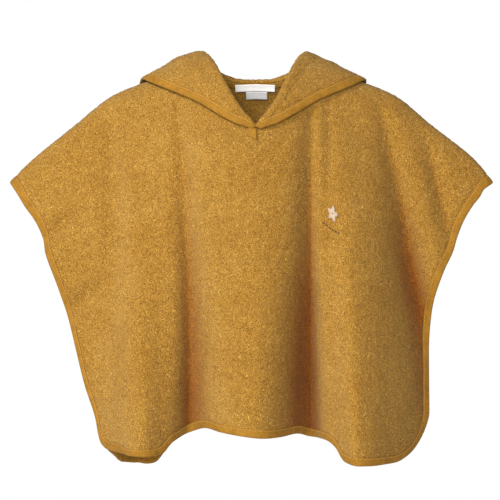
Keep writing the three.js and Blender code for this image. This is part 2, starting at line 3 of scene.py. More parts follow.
import bmesh
import bpy
import numpy as np
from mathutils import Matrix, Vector


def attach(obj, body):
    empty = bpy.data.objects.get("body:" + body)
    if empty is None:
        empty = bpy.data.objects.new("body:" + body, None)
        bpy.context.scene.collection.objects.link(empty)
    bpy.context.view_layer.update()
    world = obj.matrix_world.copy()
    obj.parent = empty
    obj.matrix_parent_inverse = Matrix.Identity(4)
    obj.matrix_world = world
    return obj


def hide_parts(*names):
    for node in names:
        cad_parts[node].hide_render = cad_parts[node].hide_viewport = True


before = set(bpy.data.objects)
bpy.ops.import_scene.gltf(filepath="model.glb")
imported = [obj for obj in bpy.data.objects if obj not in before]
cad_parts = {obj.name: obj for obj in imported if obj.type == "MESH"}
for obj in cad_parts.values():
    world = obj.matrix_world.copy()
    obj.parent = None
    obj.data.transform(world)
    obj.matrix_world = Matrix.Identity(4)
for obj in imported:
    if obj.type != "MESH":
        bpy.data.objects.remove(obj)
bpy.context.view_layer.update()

# Shape tables are in millimetres, as for the solids; meshes are written in metres.
MM = 0.001
HALF_WIDTH = 336.0
FRONT_LENGTH = 470.0
BACK_LENGTH = 462.0
CORNER_RADIUS = 82.0
WALL = 3.0
BINDING_WIDTH = 10.0
SIDE_INSET = 12.0
HALF_WALL = WALL / 2
HOOD_SEAM_GAP = 0.45

# Camera: level, square to the front.
CAMERA_AWAY = 2400.0
CAMERA_X = -6.0
CAMERA_Z = -204.0
VIEW_WIDTH = 600.0
SENSOR = 36.0


def make_camera():
    data = bpy.data.cameras.new("camera")
    data.sensor_width = SENSOR
    data.lens = SENSOR * CAMERA_AWAY / VIEW_WIDTH
    camera = bpy.data.objects.new("camera", data)
    camera.location = (CAMERA_X * MM, -CAMERA_AWAY * MM, CAMERA_Z * MM)
    camera.rotation_euler = (math.pi / 2, 0, 0)
    bpy.context.scene.collection.objects.link(camera)
    bpy.context.scene.camera = camera


make_camera()


def curve(xs, ys):
    """Smooth curve through points with rising xs, held level past the ends."""
    xs, ys = np.asarray(xs, float), np.asarray(ys, float)
    slopes = np.empty_like(ys)
    slopes[1:-1] = (ys[2:] - ys[:-2]) / (xs[2:] - xs[:-2])
    slopes[0] = (ys[1] - ys[0]) / (xs[1] - xs[0])
    slopes[-1] = (ys[-1] - ys[-2]) / (xs[-1] - xs[-2])

    def at(value):
        x = np.clip(value, xs[0], xs[-1])
        k = np.clip(np.searchsorted(xs, x, side="right") - 1, 0, len(xs) - 2)
        step = xs[k + 1] - xs[k]
        u = (x - xs[k]) / step
        rest = 1 - u
        return (
            (1 + 2 * u) * rest * rest * ys[k]
            + u * rest * rest * step * slopes[k]
            + u * u * (3 - 2 * u) * ys[k + 1]
            - u * u * rest * step * slopes[k + 1]
        )

    return at


def table(names, rows):
    """Columns of a table as one smooth curve each, over the first column."""
    columns = np.asarray(rows, float).T
    return {name: curve(columns[0], column) for name, column in zip(names, columns)}


def smooth(value):
    t = np.clip(value, 0, 1)
    return t * t * (3 - 2 * t)


# Shoulder line: distance from the centre, x to the left and right, height, radius of the roll over it.
SHOULDER = table(
    ["along", "left_x", "right_x", "z", "roll"],
    [
        (0, 0, 0, 16, 44),
        (62, 62, 59, 13, 42),
        (100, 97, 94, 7, 38),
        (140, 134, 132, -6, 34),
        (180, 172, 169, -22, 30),
        (230, 212.5, 208, -54, 24),
        (290, 259.5, 257, -92, 17),
        (336, 293.5, 285, -124, 11),
    ],
)

# Side edges: share of the drop, share of the way in from the tip's x to the hem's x.
LEFT_EDGE = table(
    ["drop", "share"],
    [
        (0, 0),
        (0.035, 0.07),
        (0.078, 0.144),
        (0.133, 0.254),
        (0.189, 0.323),
        (0.244, 0.354),
        (0.355, 0.471),
        (0.466, 0.573),
        (0.577, 0.649),
        (0.688, 0.729),
        (0.798, 0.834),
        (0.909, 0.889),
        (1, 1),
    ],
)
RIGHT_EDGE = table(
    ["drop", "share"],
    [
        (0, 0),
        (0.023, 0.145),
        (0.051, 0.219),
        (0.08, 0.322),
        (0.136, 0.473),
        (0.193, 0.574),
        (0.25, 0.65),
        (0.307, 0.775),
        (0.364, 0.872),
        (0.42, 0.944),
        (0.477, 0.98),
        (0.59, 1),
        (1, 1),
    ],
)

# Hem heights, before the lower corners are rounded.
FRONT_HEM = table(
    ["x", "z"],
    [
        (-171, -487),
        (-165, -467),
        (-155, -445),
        (-146, -443),
        (-123, -443),
        (-108, -441),
        (-98, -430),
        (-88, -424),
        (-78, -420),
        (-58, -413),
        (-40, -416),
        (-10, -420),
        (10, -422),
        (30, -422),
        (50, -421),
        (66, -426),
        (84, -427),
        (94, -434),
        (104, -449),
        (130, -453),
        (160, -453),
        (190, -454),
        (215, -453),
    ],
)
BACK_HEM = table(
    ["x", "z"],
    [
        (-170, -501),
        (-158, -472),
        (-146, -466),
        (-133, -467),
        (-121, -464),
        (-112, -453),
        (-100, -437),
        (-85, -421),
        (-40, -422),
        (0, -434),
        (40, -425),
        (90, -434),
        (130, -462),
        (170, -456),
        (210, -451),
    ],
)

# Folds: rows from the top down of x, z, half width to the left and right, and depth away from the viewer.
# A fold fades in above its first row and out below its last one.
FRONT_FOLDS = {
    "left_lobe": [(-150, -60, 30, 30, 0), (-142, -250, 34, 34, -14), (-132, -460, 38, 28, -54)],
    "left_valley": [
        (-88, -40, 10, 10, 4),
        (-80, -180, 12, 14, 13),
        (-76, -320, 13, 22, 24),
        (-80, -460, 13, 30, 34),
    ],
    "left_small_valley": [
        (-176, -34, 12, 12, 3),
        (-166, -150, 14, 14, 7),
        (-165, -300, 16, 16, 4),
        (-165, -400, 12, 12, 0),
    ],
    "centre_crest": [(0, -60, 60, 60, 0), (0, -250, 50, 36, -8), (0, -460, 46, 32, -20)],
    "right_valley": [
        (66, -50, 12, 8, 6),
        (65, -180, 18, 9, 17),
        (66, -320, 28, 10, 36),
        (68, -460, 34, 13, 50),
    ],
    "right_small_valley": [(86, -45, 7, 7, 3), (84, -130, 8, 8, 3), (84, -200, 8, 8, 0)],
    "right_lobe": [(112, -60, 24, 40, 0), (114, -250, 24, 48, -26), (120, -460, 24, 52, -60)],
    "right_side_valley": [
        (150, -40, 11, 11, 5),
        (170, -130, 18, 14, 15),
        (188, -230, 26, 16, 30),
        (208, -330, 28, 18, 30),
        (216, -460, 30, 20, 22),
    ],
    "right_edge_valley": [(204, -70, 10, 10, 4), (218, -130, 12, 12, 9), (234, -200, 12, 12, 5)],
    "left_crease_high": [(-200, -150, 16, 16, 0), (-240, -184, 18, 18, 5), (-266, -205, 16, 16, 2)],
    "left_crease_middle": [(-160, -222, 18, 18, 0), (-200, -260, 20, 20, 5), (-232, -288, 16, 16, 2)],
    "left_crease_low": [(-156, -280, 14, 14, 0), (-180, -306, 16, 16, 4), (-204, -332, 14, 14, 0)],
}
BACK_FOLDS = {
    "left_lobe": [(-120, -60, 30, 30, 0), (-130, -250, 32, 32, 14), (-142, -460, 32, 32, 38)],
    "left_valley": [(-60, -150, 14, 14, 0), (-66, -300, 16, 22, -14), (-72, -460, 18, 28, -26)],
    "centre_crest": [(0, -150, 30, 30, 0), (-4, -300, 30, 30, 10), (-6, -460, 30, 30, 20)],
    "right_valley": [(56, -150, 14, 14, 0), (60, -300, 22, 14, -16), (60, -460, 28, 16, -28)],
    "right_lobe": [(120, -60, 30, 30, 0), (122, -250, 32, 32, 16), (134, -460, 34, 34, 40)],
    "left_side_valley": [
        (-160, -40, 12, 12, -4),
        (-172, -150, 14, 14, -8),
        (-184, -260, 14, 14, -6),
        (-190, -340, 12, 12, 0),
    ],
    "right_side_valley": [
        (164, -45, 12, 12, -4),
        (176, -150, 14, 14, -9),
        (190, -270, 14, 14, -6),
        (200, -340, 12, 12, 0),
    ],
}
FOLD_TOP_FADE = 30.0
FOLD_END_FADE = 25.0

# Hood: rows from the front point of the neck round to the centre back, places as p, q and lift off the panel.
# The right half lies flatter: its lifts are multiplied by the last column.
HOOD_COLUMNS = [
    "round", "seam_p", "seam_q", "rise", "in_p", "in_q", "in_h", "far_p", "far_q", "far_h",
    "out_p", "out_q", "out_h", "edge_p", "edge_q", "edge_h", "flatter",
]
HOOD = table(
    HOOD_COLUMNS,
    [
        (0.00, 1, 118, 4, 3.6, 118, 5, 4.2, 118.4, 5.5, 4.8, 118.7, 5, 5.4, 119, 4, 1),
        (0.05, 8.5, 110, 7, 11, 111.2, 8.5, 13, 112.6, 9, 14.6, 114.2, 8, 16, 116, 7, 1),
        (0.10, 17, 101, 9, 20, 103.6, 10, 22, 106.2, 10, 24, 109, 9, 26, 112.5, 8, 0.9),
        (0.20, 30.5, 80, 13, 36, 85.5, 14, 40, 90, 13, 44, 94.5, 11, 48, 99, 9, 0.8),
        (0.31, 43.5, 50, 16, 52, 56, 16, 60.5, 62, 15, 69, 68, 12.5, 77, 75, 9, 0.75),
        (0.42, 54, 21, 17, 68, 26, 17, 81.5, 32, 15, 94.5, 39.5, 12, 108, 48, 9, 0.75),
        (0.52, 59.5, 7, 18, 79, 4, 18, 97, 5, 14, 114, 11, 10, 130, 20, 8, 0.75),
        (0.60, 59.5, -8, 18, 83, -12, 17, 103, -14, 12, 121, -14, 9, 138, -8, 8, 0.8),
        (0.69, 55, -23, 14, 82, -46, 9, 112, -56, 10, 127, -46, 13, 138, -34, 21, 0.9),
        (0.79, 45, -33, 8, 68, -90, 7, 94, -118, 11, 106, -94, 19, 117, -66, 27, 1),
        (0.90, 23, -43, 5, 36, -122, 7, 54, -186, 15, 58, -140, 26, 63, -94, 29, 1),
        (1.00, 0, -45, 4, 0, -134, 7, 0, -216, 16, 0, -158, 28, 0, -104, 30, 1),
    ],
)

# Net of the cloth: rows lie closer together near the shoulder.
ROW_POWER = 1.5
NET_ROWS = 110
NET_COLUMNS = 224
NET_SAMPLES = 350

# Distances down the cloth over which the body, the pull of the edges and the folds grow to their full depth.
BODY_GROWTH = 170.0
EDGE_START = 0.8
EDGE_GROWTH = 300.0
FOLD_GROWTH = 60.0

# Share of the half width over which the left edge's shape passes into the right edge's.
SIDE_BLEND = 0.25

# Distances over which the outward direction is felt, for pieces that lie close and for those lifted high.
CLOSE_FEEL = 1.5
WIDE_FEEL = 12.0
WIDE_LIFT = 8.0

SIDES = {
    "front": dict(
        facing=-1, length=FRONT_LENGTH, left_x=-167.8, middle_x=2, right_x=209.4,
        hem=FRONT_HEM["z"], folds=FRONT_FOLDS, base=24, rise=54, width=125, edge_pull=4,
    ),
    "back": dict(
        facing=1, length=BACK_LENGTH, left_x=-166, middle_x=6, right_x=206.4,
        hem=BACK_HEM["z"], folds=BACK_FOLDS, base=24, rise=46, width=120, edge_pull=6,
    ),
}


def fold_depth(folds, x, z):
    total = np.zeros(x.shape)
    for rows in folds.values():
        down = [-row[1] for row in rows]
        centre, left, right, depth = (curve(down, [row[k] for row in rows])(-z) for k in (0, 2, 3, 4))
        beside = x - centre
        shown = smooth((rows[0][1] + FOLD_END_FADE - z) / FOLD_TOP_FADE)
        shown = shown * smooth((z - rows[-1][1] + FOLD_END_FADE) / FOLD_END_FADE)
        total = total + depth * shown * np.exp(-((beside / np.where(beside < 0, left, right)) ** 2))
    return total


def row_points(side, q, s):
    """Points of a row of cloth: s runs from -1 at the left edge to 1 at the right edge."""
    along = np.abs(s) * HALF_WIDTH
    radius = SHOULDER["roll"](along)
    top_x = np.where(s < 0, -SHOULDER["left_x"](along), SHOULDER["right_x"](along))
    top_z = SHOULDER["z"](along)
    rolled = radius * (1 - np.exp(-q / radius))
    drop = (q - rolled) / (side["length"] - radius)
    hem_end = np.where(s < 0, side["left_x"], side["right_x"])
    hem_x = side["middle_x"] + np.abs(s) * (hem_end - side["middle_x"])
    to_right = smooth((s + SIDE_BLEND) / (2 * SIDE_BLEND))
    share = LEFT_EDGE["share"](drop) * (1 - to_right) + RIGHT_EDGE["share"](drop) * to_right
    x = top_x + (hem_x - top_x) * share
    z = top_z + (side["hem"](hem_x) - top_z) * drop
    full = side["base"] + side["rise"] * np.exp(-((x / side["width"]) ** 2))
    body = rolled + (np.maximum(full, radius) - radius) * smooth(q / BODY_GROWTH)
    edge = smooth((np.abs(s) - EDGE_START) / (1 - EDGE_START)) * smooth(q / EDGE_GROWTH)
    depth = fold_depth(side["folds"], x, z) * smooth(q / FOLD_GROWTH)
    return np.stack([x, side["facing"] * (body - side["edge_pull"] * edge) + depth, z], axis=-1)


def run_along(path):
    """Distance of each point of a path from its first point, along the path."""
    return np.concatenate([[0], np.cumsum(np.linalg.norm(np.diff(path, axis=0), axis=1))])


def at_run(at, run, path):
    """Points of a path, or of values along it, at distances along it."""
    return np.stack([np.interp(at, run, path[:, k]) for k in range(3)], axis=1)


def spread(path, count):
    """Points spread evenly along a path."""
    run = run_along(path)
    return at_run(np.linspace(0, run[-1], count + 1), run, path)


def cloth_net(side):
    net = []
    share = np.linspace(0, 1, NET_SAMPLES + 1)
    for j in range(NET_ROWS + 1):
        q = side["length"] * (j / NET_ROWS) ** ROW_POWER
        left = spread(row_points(side, q, -share), NET_COLUMNS // 2)
        right = spread(row_points(side, q, share), NET_COLUMNS // 2)
        net.append(np.concatenate([left[:0:-1], right]))
    return np.array(net)


for part in SIDES.values():
    part["net"] = cloth_net(part)


def spline_weights(u):
    return [
        ((2 - u) * u - 1) * u / 2,
        (u * u * (3 * u - 5) + 2) / 2,
        ((4 - 3 * u) * u + 1) * u / 2,
        (u - 1) * u * u / 2,
    ]


def cloth(p, q):
    """Middle of the cloth at places p across and q down the front, or below 0 down the back."""
    p, q = np.broadcast_arrays(np.asarray(p, float), np.asarray(q, float))
    out = np.empty(p.shape + (3,))
    for part, here in ((SIDES["front"], q >= 0), (SIDES["back"], q < 0)):
        row = NET_ROWS * np.clip(np.abs(q[here]) / part["length"], 0, 1) ** (1 / ROW_POWER)
        column = np.clip((p[here] + HALF_WIDTH) / (2 * HALF_WIDTH), 0, 1) * NET_COLUMNS
        j = np.minimum(np.floor(row).astype(int), NET_ROWS - 1)
        i = np.minimum(np.floor(column).astype(int), NET_COLUMNS - 1)
        down, across = spline_weights(row - j), spline_weights(column - i)
        got = np.zeros(row.shape + (3,))
        for b in range(4):
            for a in range(4):
                corner = part["net"][np.clip(j + b - 1, 0, NET_ROWS), np.clip(i + a - 1, 0, NET_COLUMNS)]
                got += (down[b] * across[a])[:, None] * corner
        out[here] = got
    return out


def outward(p, q, feel=CLOSE_FEEL):
    """Direction straight out of the cloth, away from the body."""
    across = cloth(np.minimum(p + feel, HALF_WIDTH), q) - cloth(np.maximum(p - feel, -HALF_WIDTH), q)
    down = cloth(p, q + feel) - cloth(p, q - feel)
    out = np.cross(down, across)
    return out / np.linalg.norm(out, axis=-1, keepdims=True)


def lifted(p, q, lift, feel=CLOSE_FEEL):
    return cloth(p, q) + outward(p, q, feel) * np.asarray(lift)[..., None]


def grid_normals(points):
    """Normals of a net of points, from its own lines."""
    first = np.gradient(points, axis=0)
    second = np.gradient(points, axis=1)
    out = np.cross(first, second)
    return out / np.maximum(np.linalg.norm(out, axis=-1, keepdims=True), 1e-9)


# Multipliers that scatter whole numbers, for uneven values that are the same on each run.
SCATTER_X, SCATTER_Y, SCATTER_Z = 73856093, 19349663, 83492791
SCATTER_SEED = 2654435761
SCATTER_AGAIN = 1274126177


def lumps(points, cell, seed):
    """Smooth uneven values from 0 to 1 in space, with one bump to each cell."""
    at = points / cell
    low = np.floor(at).astype(np.int64)
    part = smooth(at - low)
    total = np.zeros(points.shape[:-1])
    for dx in (0, 1):
        for dy in (0, 1):
            for dz in (0, 1):
                x, y, z = low[..., 0] + dx, low[..., 1] + dy, low[..., 2] + dz
                mixed = (x * SCATTER_X) ^ (y * SCATTER_Y) ^ (z * SCATTER_Z) ^ (seed * SCATTER_SEED)
                mixed = ((mixed ^ (mixed >> 13)) * SCATTER_AGAIN) & 0x7FFFFFFF
                mixed = (mixed ^ (mixed >> 15)) & 0xFFFF
                weight = (
                    (part[..., 0] if dx else 1 - part[..., 0])
                    * (part[..., 1] if dy else 1 - part[..., 1])
                    * (part[..., 2] if dz else 1 - part[..., 2])
                )
                total += weight * mixed / 0xFFFF
    return total


# Pile of the terry: rows of cell size, seed and height of the bumps.
PILE = [(2.1, 3, 1.0), (6.5, 5, 0.3), (34.0, 9, 0.6)]
PILE_SUNK = 0.45
PRESSED_DEPTH = 0.5

# Where seams hold the pile down: distance over which it rises, and the share of it at the seam.
NECK_SEAM = (3.0, 0.2)
SHOULDER_SEAM = (2.5, 0.3)
HOOD_SEAM = (4.0, 0.25)
HOOD_FRONT = (12.0, 0.0)
HOOD_BACK = (3.0, 0.55)
BARE_EDGE = 0.5
EDGE_RISE = 4.0


def loop_height(points, calm):
    """How far the loops stand proud of the wall; calm is 0 where a seam holds them down."""
    height = sum(tall * lumps(points, cell, seed) for cell, seed, tall in PILE) - PILE_SUNK
    return height * calm - PRESSED_DEPTH * (1 - calm)


def calm_at_seam(distance, seam):
    rise, least = seam
    return smooth(distance / rise + least)


def calm_at_edge(distance):
    return smooth((distance - BARE_EDGE) / EDGE_RISE)


def quads(lines, width, offset=0):
    """Faces of a net of lines by width vertices."""
    corner = offset + (np.arange(lines - 1)[:, None] * width + np.arange(width - 1)[None, :]).ravel()
    return np.stack([corner, corner + 1, corner + width + 1, corner + width], axis=1)


def border(lines, width, offset=0, step=1):
    """Indices round the edge of a net, in order, without repeating the first."""
    index = offset + np.arange(lines * width).reshape(lines, width)
    top, right = index[0, :-1:step], index[:-1:step, -1]
    bottom, left = index[-1, :0:-step], index[:0:-step, 0]
    return np.concatenate([top, right, bottom, left])


def add_mesh(name, points, faces, material):
    mesh = bpy.data.meshes.new(name)
    mesh.from_pydata((points * MM).tolist(), [], [list(map(int, face)) for face in faces])
    mesh.validate()
    mesh.polygons.foreach_set("use_smooth", [True] * len(mesh.polygons))
    mesh.materials.append(material)
    piece = bpy.data.objects.new(name, mesh)
    bpy.context.scene.collection.objects.link(piece)
    return piece


def shell(name, outer, inner, ratio, material):
    """Closed cloth wall: a fine outer net, an inner net with every ratio-th line, and a rim."""
    lines, width = outer.shape[:2]
    inner_lines, inner_width = inner.shape[:2]
    points = np.concatenate([outer.reshape(-1, 3), inner.reshape(-1, 3)])
    start = lines * width
    faces = [*quads(lines, width), *quads(inner_lines, inner_width, start)[:, ::-1]]
    ring_out = border(lines, width)
    ring_in = border(inner_lines, inner_width, start)
    count = len(ring_in)
    for k in range(count):
        near, far = ring_in[k], ring_in[(k + 1) % count]
        middle = ratio // 2
        for m in range(ratio):
            a = ring_out[(k * ratio + m) % len(ring_out)]
            b = ring_out[(k * ratio + m + 1) % len(ring_out)]
            faces.append((b, a, near if m <= middle else far))
            if m == middle:
                faces.append((b, near, far))
    return add_mesh(name, points, faces, material)


def tube(name, sections, material, closed):
    """Closed skin through a row of cross-sections of one size."""
    lines, width = sections.shape[:2]
    points = sections.reshape(-1, 3)
    faces = []
    for k in range(lines if closed else lines - 1):
        here, there = k * width, ((k + 1) % lines) * width
        for j in range(width):
            after = (j + 1) % width
            faces.append((here + j, here + after, there + after, there + j))
    if not closed:
        faces.append(tuple(range(width))[::-1])
        faces.append(tuple(range((lines - 1) * width, lines * width)))
    return add_mesh(name, points, faces, material)


def set_painted_shade(piece, outer, inner):
    """Stores how deep each point lies in the folds, as the share of painted shade in the pile's colour."""
    layer = piece.data.attributes.new("painted_shade", "FLOAT", "POINT")
    layer.data.foreach_set("value", np.concatenate([outer.ravel(), inner.ravel()]).astype(np.float32))


def turn_out(piece):
    """Makes every face point away from the inside."""
    mesh = bmesh.new()
    mesh.from_mesh(piece.data)
    bmesh.ops.recalc_face_normals(mesh, faces=mesh.faces)
    mesh.to_mesh(piece.data)
    mesh.free()


def settle(piece, node):
    """Turns a piece's faces out, hangs it on the root, and hides the imported part that it stands for."""
    turn_out(piece)
    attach(piece, "root")
    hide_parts(node)
    return piece


class Nodes:
    """Short way to lay out one material's nodes."""

    def __init__(self, name):
        self.material = bpy.data.materials.new(name)
        self.material.use_nodes = True
        self.tree = self.material.node_tree
        self.shader = self.tree.nodes["Principled BSDF"]
        self.place = self.add("ShaderNodeTexCoord").outputs["Object"]

    def add(self, kind, **inputs):
        node = self.tree.nodes.new(kind)
        for key, value in inputs.items():
            node.inputs[key.replace("_", " ")].default_value = value
        return node

    def link(self, output, target):
        self.tree.links.new(output, target)

    def noise(self, scale, detail=2.0, distortion=0.0, vector=None):
        node = self.add("ShaderNodeTexNoise", Scale=scale, Detail=detail, Distortion=distortion)
        self.link(vector or self.place, node.inputs["Vector"])
        return node.outputs["Fac"]

    def cells(self, scale):
        node = self.add("ShaderNodeTexVoronoi", Scale=scale)
        self.link(self.place, node.inputs["Vector"])
        return node.outputs["Distance"]

    def ramp(self, value, stops):
        node = self.add("ShaderNodeValToRGB")
        ramp = node.color_ramp
        while len(ramp.elements) < len(stops):
            ramp.elements.new(0.5)
        for element, (position, colour) in zip(ramp.elements, stops):
            element.position = position
            element.color = (*colour, 1)
        self.link(value, node.inputs["Fac"])
        return node.outputs["Color"]

    def math(self, operation, first, second):
        node = self.add("ShaderNodeMath")
        node.operation = operation
        for socket, value in zip(node.inputs, (first, second)):
            if isinstance(value, (int, float)):
                socket.default_value = value
            else:
                self.link(value, socket)
        return node.outputs[0]

    def mix(self, factor, first, second, mode="MIX"):
        node = self.add("ShaderNodeMix")
        node.data_type = "RGBA"
        node.blend_type = mode
        if isinstance(factor, (int, float)):
            node.inputs["Factor"].default_value = factor
        else:
            self.link(factor, node.inputs["Factor"])
        for socket, value in ((node.inputs[6], first), (node.inputs[7], second)):
            if isinstance(value, tuple):
                socket.default_value = (*value, 1)
            else:
                self.link(value, socket)
        return node.outputs[2]

    def bump(self, height, strength, distance, below=None):
        node = self.add("ShaderNodeBump", Strength=strength, Distance=distance)
        self.link(height, node.inputs["Height"])
        if below is not None:
            self.link(below, node.inputs["Normal"])
        return node.outputs["Normal"]


def set_cloth(nodes, roughness, sheen, sheen_roughness, tint, specular):
    shader = nodes.shader
    shader.inputs["Roughness"].default_value = roughness
    shader.inputs["Sheen Weight"].default_value = sheen
    shader.inputs["Sheen Roughness"].default_value = sheen_roughness
    shader.inputs["Sheen Tint"].default_value = (*tint, 1)
    shader.inputs["Specular IOR Level"].default_value = specular


# Colour multiplied into the pile where the folds lie deep: painted shade.
PAINTED_SHADE_TINT = (0.66, 0.38, 0.05)


def terry_material():
    nodes = Nodes("terry")
    loops = nodes.noise(scale=500.0, detail=1.0, distortion=4.0)
    tufts = nodes.cells(scale=600.0)
    nap = nodes.noise(scale=120.0, distortion=0.8)
    patch = nodes.noise(scale=22.0, distortion=0.4)
    # The pile's colour follows the loop and tuft noise that also drives the relief: lighter on the raised
    # loop tops, darker in the low gaps. This is partly the yarn's own tone and partly painted highlight and
    # painted shade.
    colour = nodes.ramp(
        loops,
        [
            (0.36, (0.104, 0.041, 0.0028)),
            (0.46, (0.246, 0.114, 0.0085)),
            (0.56, (0.345, 0.180, 0.0220)),
            (0.66, (0.610, 0.370, 0.090)),
        ],
    )
    rows = nodes.ramp(tufts, [(0.15, (1.10, 1.10, 1.12)), (0.75, (0.80, 0.76, 0.66))])
    colour = nodes.mix(0.8, colour, rows, "MULTIPLY")
    uneven = nodes.ramp(patch, [(0.32, (0.92, 0.88, 0.76)), (0.68, (1.0, 1.0, 1.04))])
    colour = nodes.mix(1.0, colour, uneven, "MULTIPLY")
    brushed = nodes.ramp(nap, [(0.36, (0.92, 0.89, 0.82)), (0.62, (1.03, 1.03, 1.05))])
    colour = nodes.mix(0.6, colour, brushed, "MULTIPLY")
    # Painted shade: the pile is darkened towards the fold colour where the stored fold depth is large.
    painted_shade = nodes.add("ShaderNodeAttribute")
    painted_shade.attribute_name = "painted_shade"
    deep = nodes.mix(1.0, colour, PAINTED_SHADE_TINT, "MULTIPLY")
    colour = nodes.mix(painted_shade.outputs["Fac"], colour, deep)
    nodes.link(colour, nodes.shader.inputs["Base Color"])
    height = nodes.math("ADD", loops, nodes.math("MULTIPLY", tufts, -0.6))
    low = nodes.bump(nap, strength=0.3, distance=0.0010)
    relief = nodes.bump(height, strength=0.9, distance=0.0012, below=low)
    nodes.link(relief, nodes.shader.inputs["Normal"])
    set_cloth(nodes, roughness=0.95, sheen=0.12, sheen_roughness=0.45, tint=(1.0, 0.80, 0.42), specular=0.2)
    return nodes.material


def binding_material(name, tone):
    nodes = Nodes(name)
    weave = nodes.noise(scale=1500.0, detail=1.0)
    patch = nodes.noise(scale=70.0)
    rub = nodes.noise(scale=260.0, detail=3.0, distortion=0.5)
    colour = nodes.ramp(patch, [(0.30, tuple(0.80 * c for c in tone)), (0.70, tone)])
    worn = nodes.ramp(rub, [(0.38, (0.84, 0.80, 0.70)), (0.62, (1.05, 1.05, 1.05))])
    colour = nodes.mix(0.8, colour, worn, "MULTIPLY")
    yarn = nodes.ramp(weave, [(0.35, (0.70, 0.66, 0.55)), (0.65, (1.0, 1.0, 1.0))])
    colour = nodes.mix(0.5, colour, yarn, "MULTIPLY")
    nodes.link(colour, nodes.shader.inputs["Base Color"])
    low = nodes.bump(rub, strength=0.6, distance=0.0012)
    relief = nodes.bump(weave, strength=0.4, distance=0.0002, below=low)
    nodes.link(relief, nodes.shader.inputs["Normal"])
    set_cloth(nodes, roughness=0.85, sheen=0.1, sheen_roughness=0.4, tint=(1.0, 0.80, 0.45), specular=0.2)
    return nodes.material


def label_material(name, tone):
    nodes = Nodes(name)
    scaled = nodes.add("ShaderNodeMapping", Scale=(1.0, 1.0, 3.0))
    nodes.link(nodes.place, scaled.inputs["Vector"])
    weave = nodes.noise(scale=1600.0, detail=1.0, vector=scaled.outputs["Vector"])
    patch = nodes.noise(scale=90.0)
    colour = nodes.ramp(patch, [(0.3, tuple(0.92 * c for c in tone)), (0.7, tone)])
    yarn = nodes.ramp(weave, [(0.35, (0.80, 0.79, 0.78)), (0.65, (1.0, 1.0, 1.0))])
    colour = nodes.mix(0.4, colour, yarn, "MULTIPLY")
    nodes.link(colour, nodes.shader.inputs["Base Color"])
    nodes.link(nodes.bump(weave, strength=0.35, distance=0.0002), nodes.shader.inputs["Normal"])
    set_cloth(nodes, roughness=0.45, sheen=0.1, sheen_roughness=0.3, tint=(1.0, 1.0, 1.0), specular=0.4)
    return nodes.material


def thread_material(name, colour):
    nodes = Nodes(name)
    twist = nodes.noise(scale=1900.0, detail=1.0, distortion=0.6)
    tone = nodes.ramp(twist, [(0.3, tuple(0.7 * c for c in colour)), (0.7, colour)])
    nodes.link(tone, nodes.shader.inputs["Base Color"])
    nodes.link(nodes.bump(twist, strength=0.4, distance=0.0002), nodes.shader.inputs["Normal"])
    set_cloth(nodes, roughness=0.55, sheen=0.2, sheen_roughness=0.3, tint=(1.0, 0.95, 0.85), specular=0.35)
    return nodes.material


TERRY = terry_material()
BINDING = binding_material("binding", (0.262, 0.124, 0.0100))
TAPE = binding_material("tape", (0.300, 0.146, 0.0150))
NECK_LABEL = label_material("label", (0.76, 0.74, 0.71))
SIZE_LABEL = label_material("size_label", (0.46, 0.45, 0.44))
STITCH = thread_material("stitch", (0.47, 0.245, 0.05))
CREAM_THREAD = thread_material("cream_thread", (0.40, 0.29, 0.20))
BROWN_THREAD = thread_material("brown_thread", (0.060, 0.016, 0.008))


# Panels.
STRAIGHT_HALF = HALF_WIDTH - CORNER_RADIUS
RATIO = 3
STRAIGHT_STEPS = 129
CORNER_STEPS = 45
PANEL_ROWS = 234
TUCK = 1.5
HALF_SEAM_GAP = 0.15

# Length of built cloth for each millimetre of flat cloth, down near the hem and across near the sides.
BUILT_DOWN = 0.9
BUILT_ACROSS = 0.8
PAST_NECK = 6.0
FAR_FROM_NECK = 99.0

# The inside has a lower pile, read elsewhere in the same uneven values.
INSIDE_PILE = 0.6
PANEL_INSIDE_SHIFT = 400.0
HOOD_INSIDE_SHIFT = 300.0

# Painted shade: folds this deep get the full darker fold colour, which stands in for shade in the valleys,
# less near the shoulders.
FULL_SHADE = 30.0
SHADE_AT_TOP = 0.3
SHADE_TOP = 60.0
SHADE_GROWTH = 300.0

neck_rounds = np.linspace(0, 1, 801)
NECK_P, NECK_Q = HOOD["seam_p"](neck_rounds), HOOD["seam_q"](neck_rounds)
CROSSING = NECK_P[np.argmax(NECK_Q <= 0)]


def neck_depth(facing, p):
    half = -facing * NECK_Q >= 0
    order = np.argsort(NECK_P[half])
    return np.where(p < CROSSING, np.interp(p, NECK_P[half][order], np.abs(NECK_Q[half][order])), 0)


def panel_columns():
    """Places across the panel, closer together round the lower corners."""
    straight = np.linspace(0, STRAIGHT_HALF, STRAIGHT_STEPS + 1)
    turns = np.linspace(0, math.pi / 2, CORNER_STEPS + 1)[1:]
    half = np.concatenate([straight, STRAIGHT_HALF + (CORNER_RADIUS - SIDE_INSET + TUCK) * np.sin(turns)])
    return np.concatenate([-half[:0:-1], half])


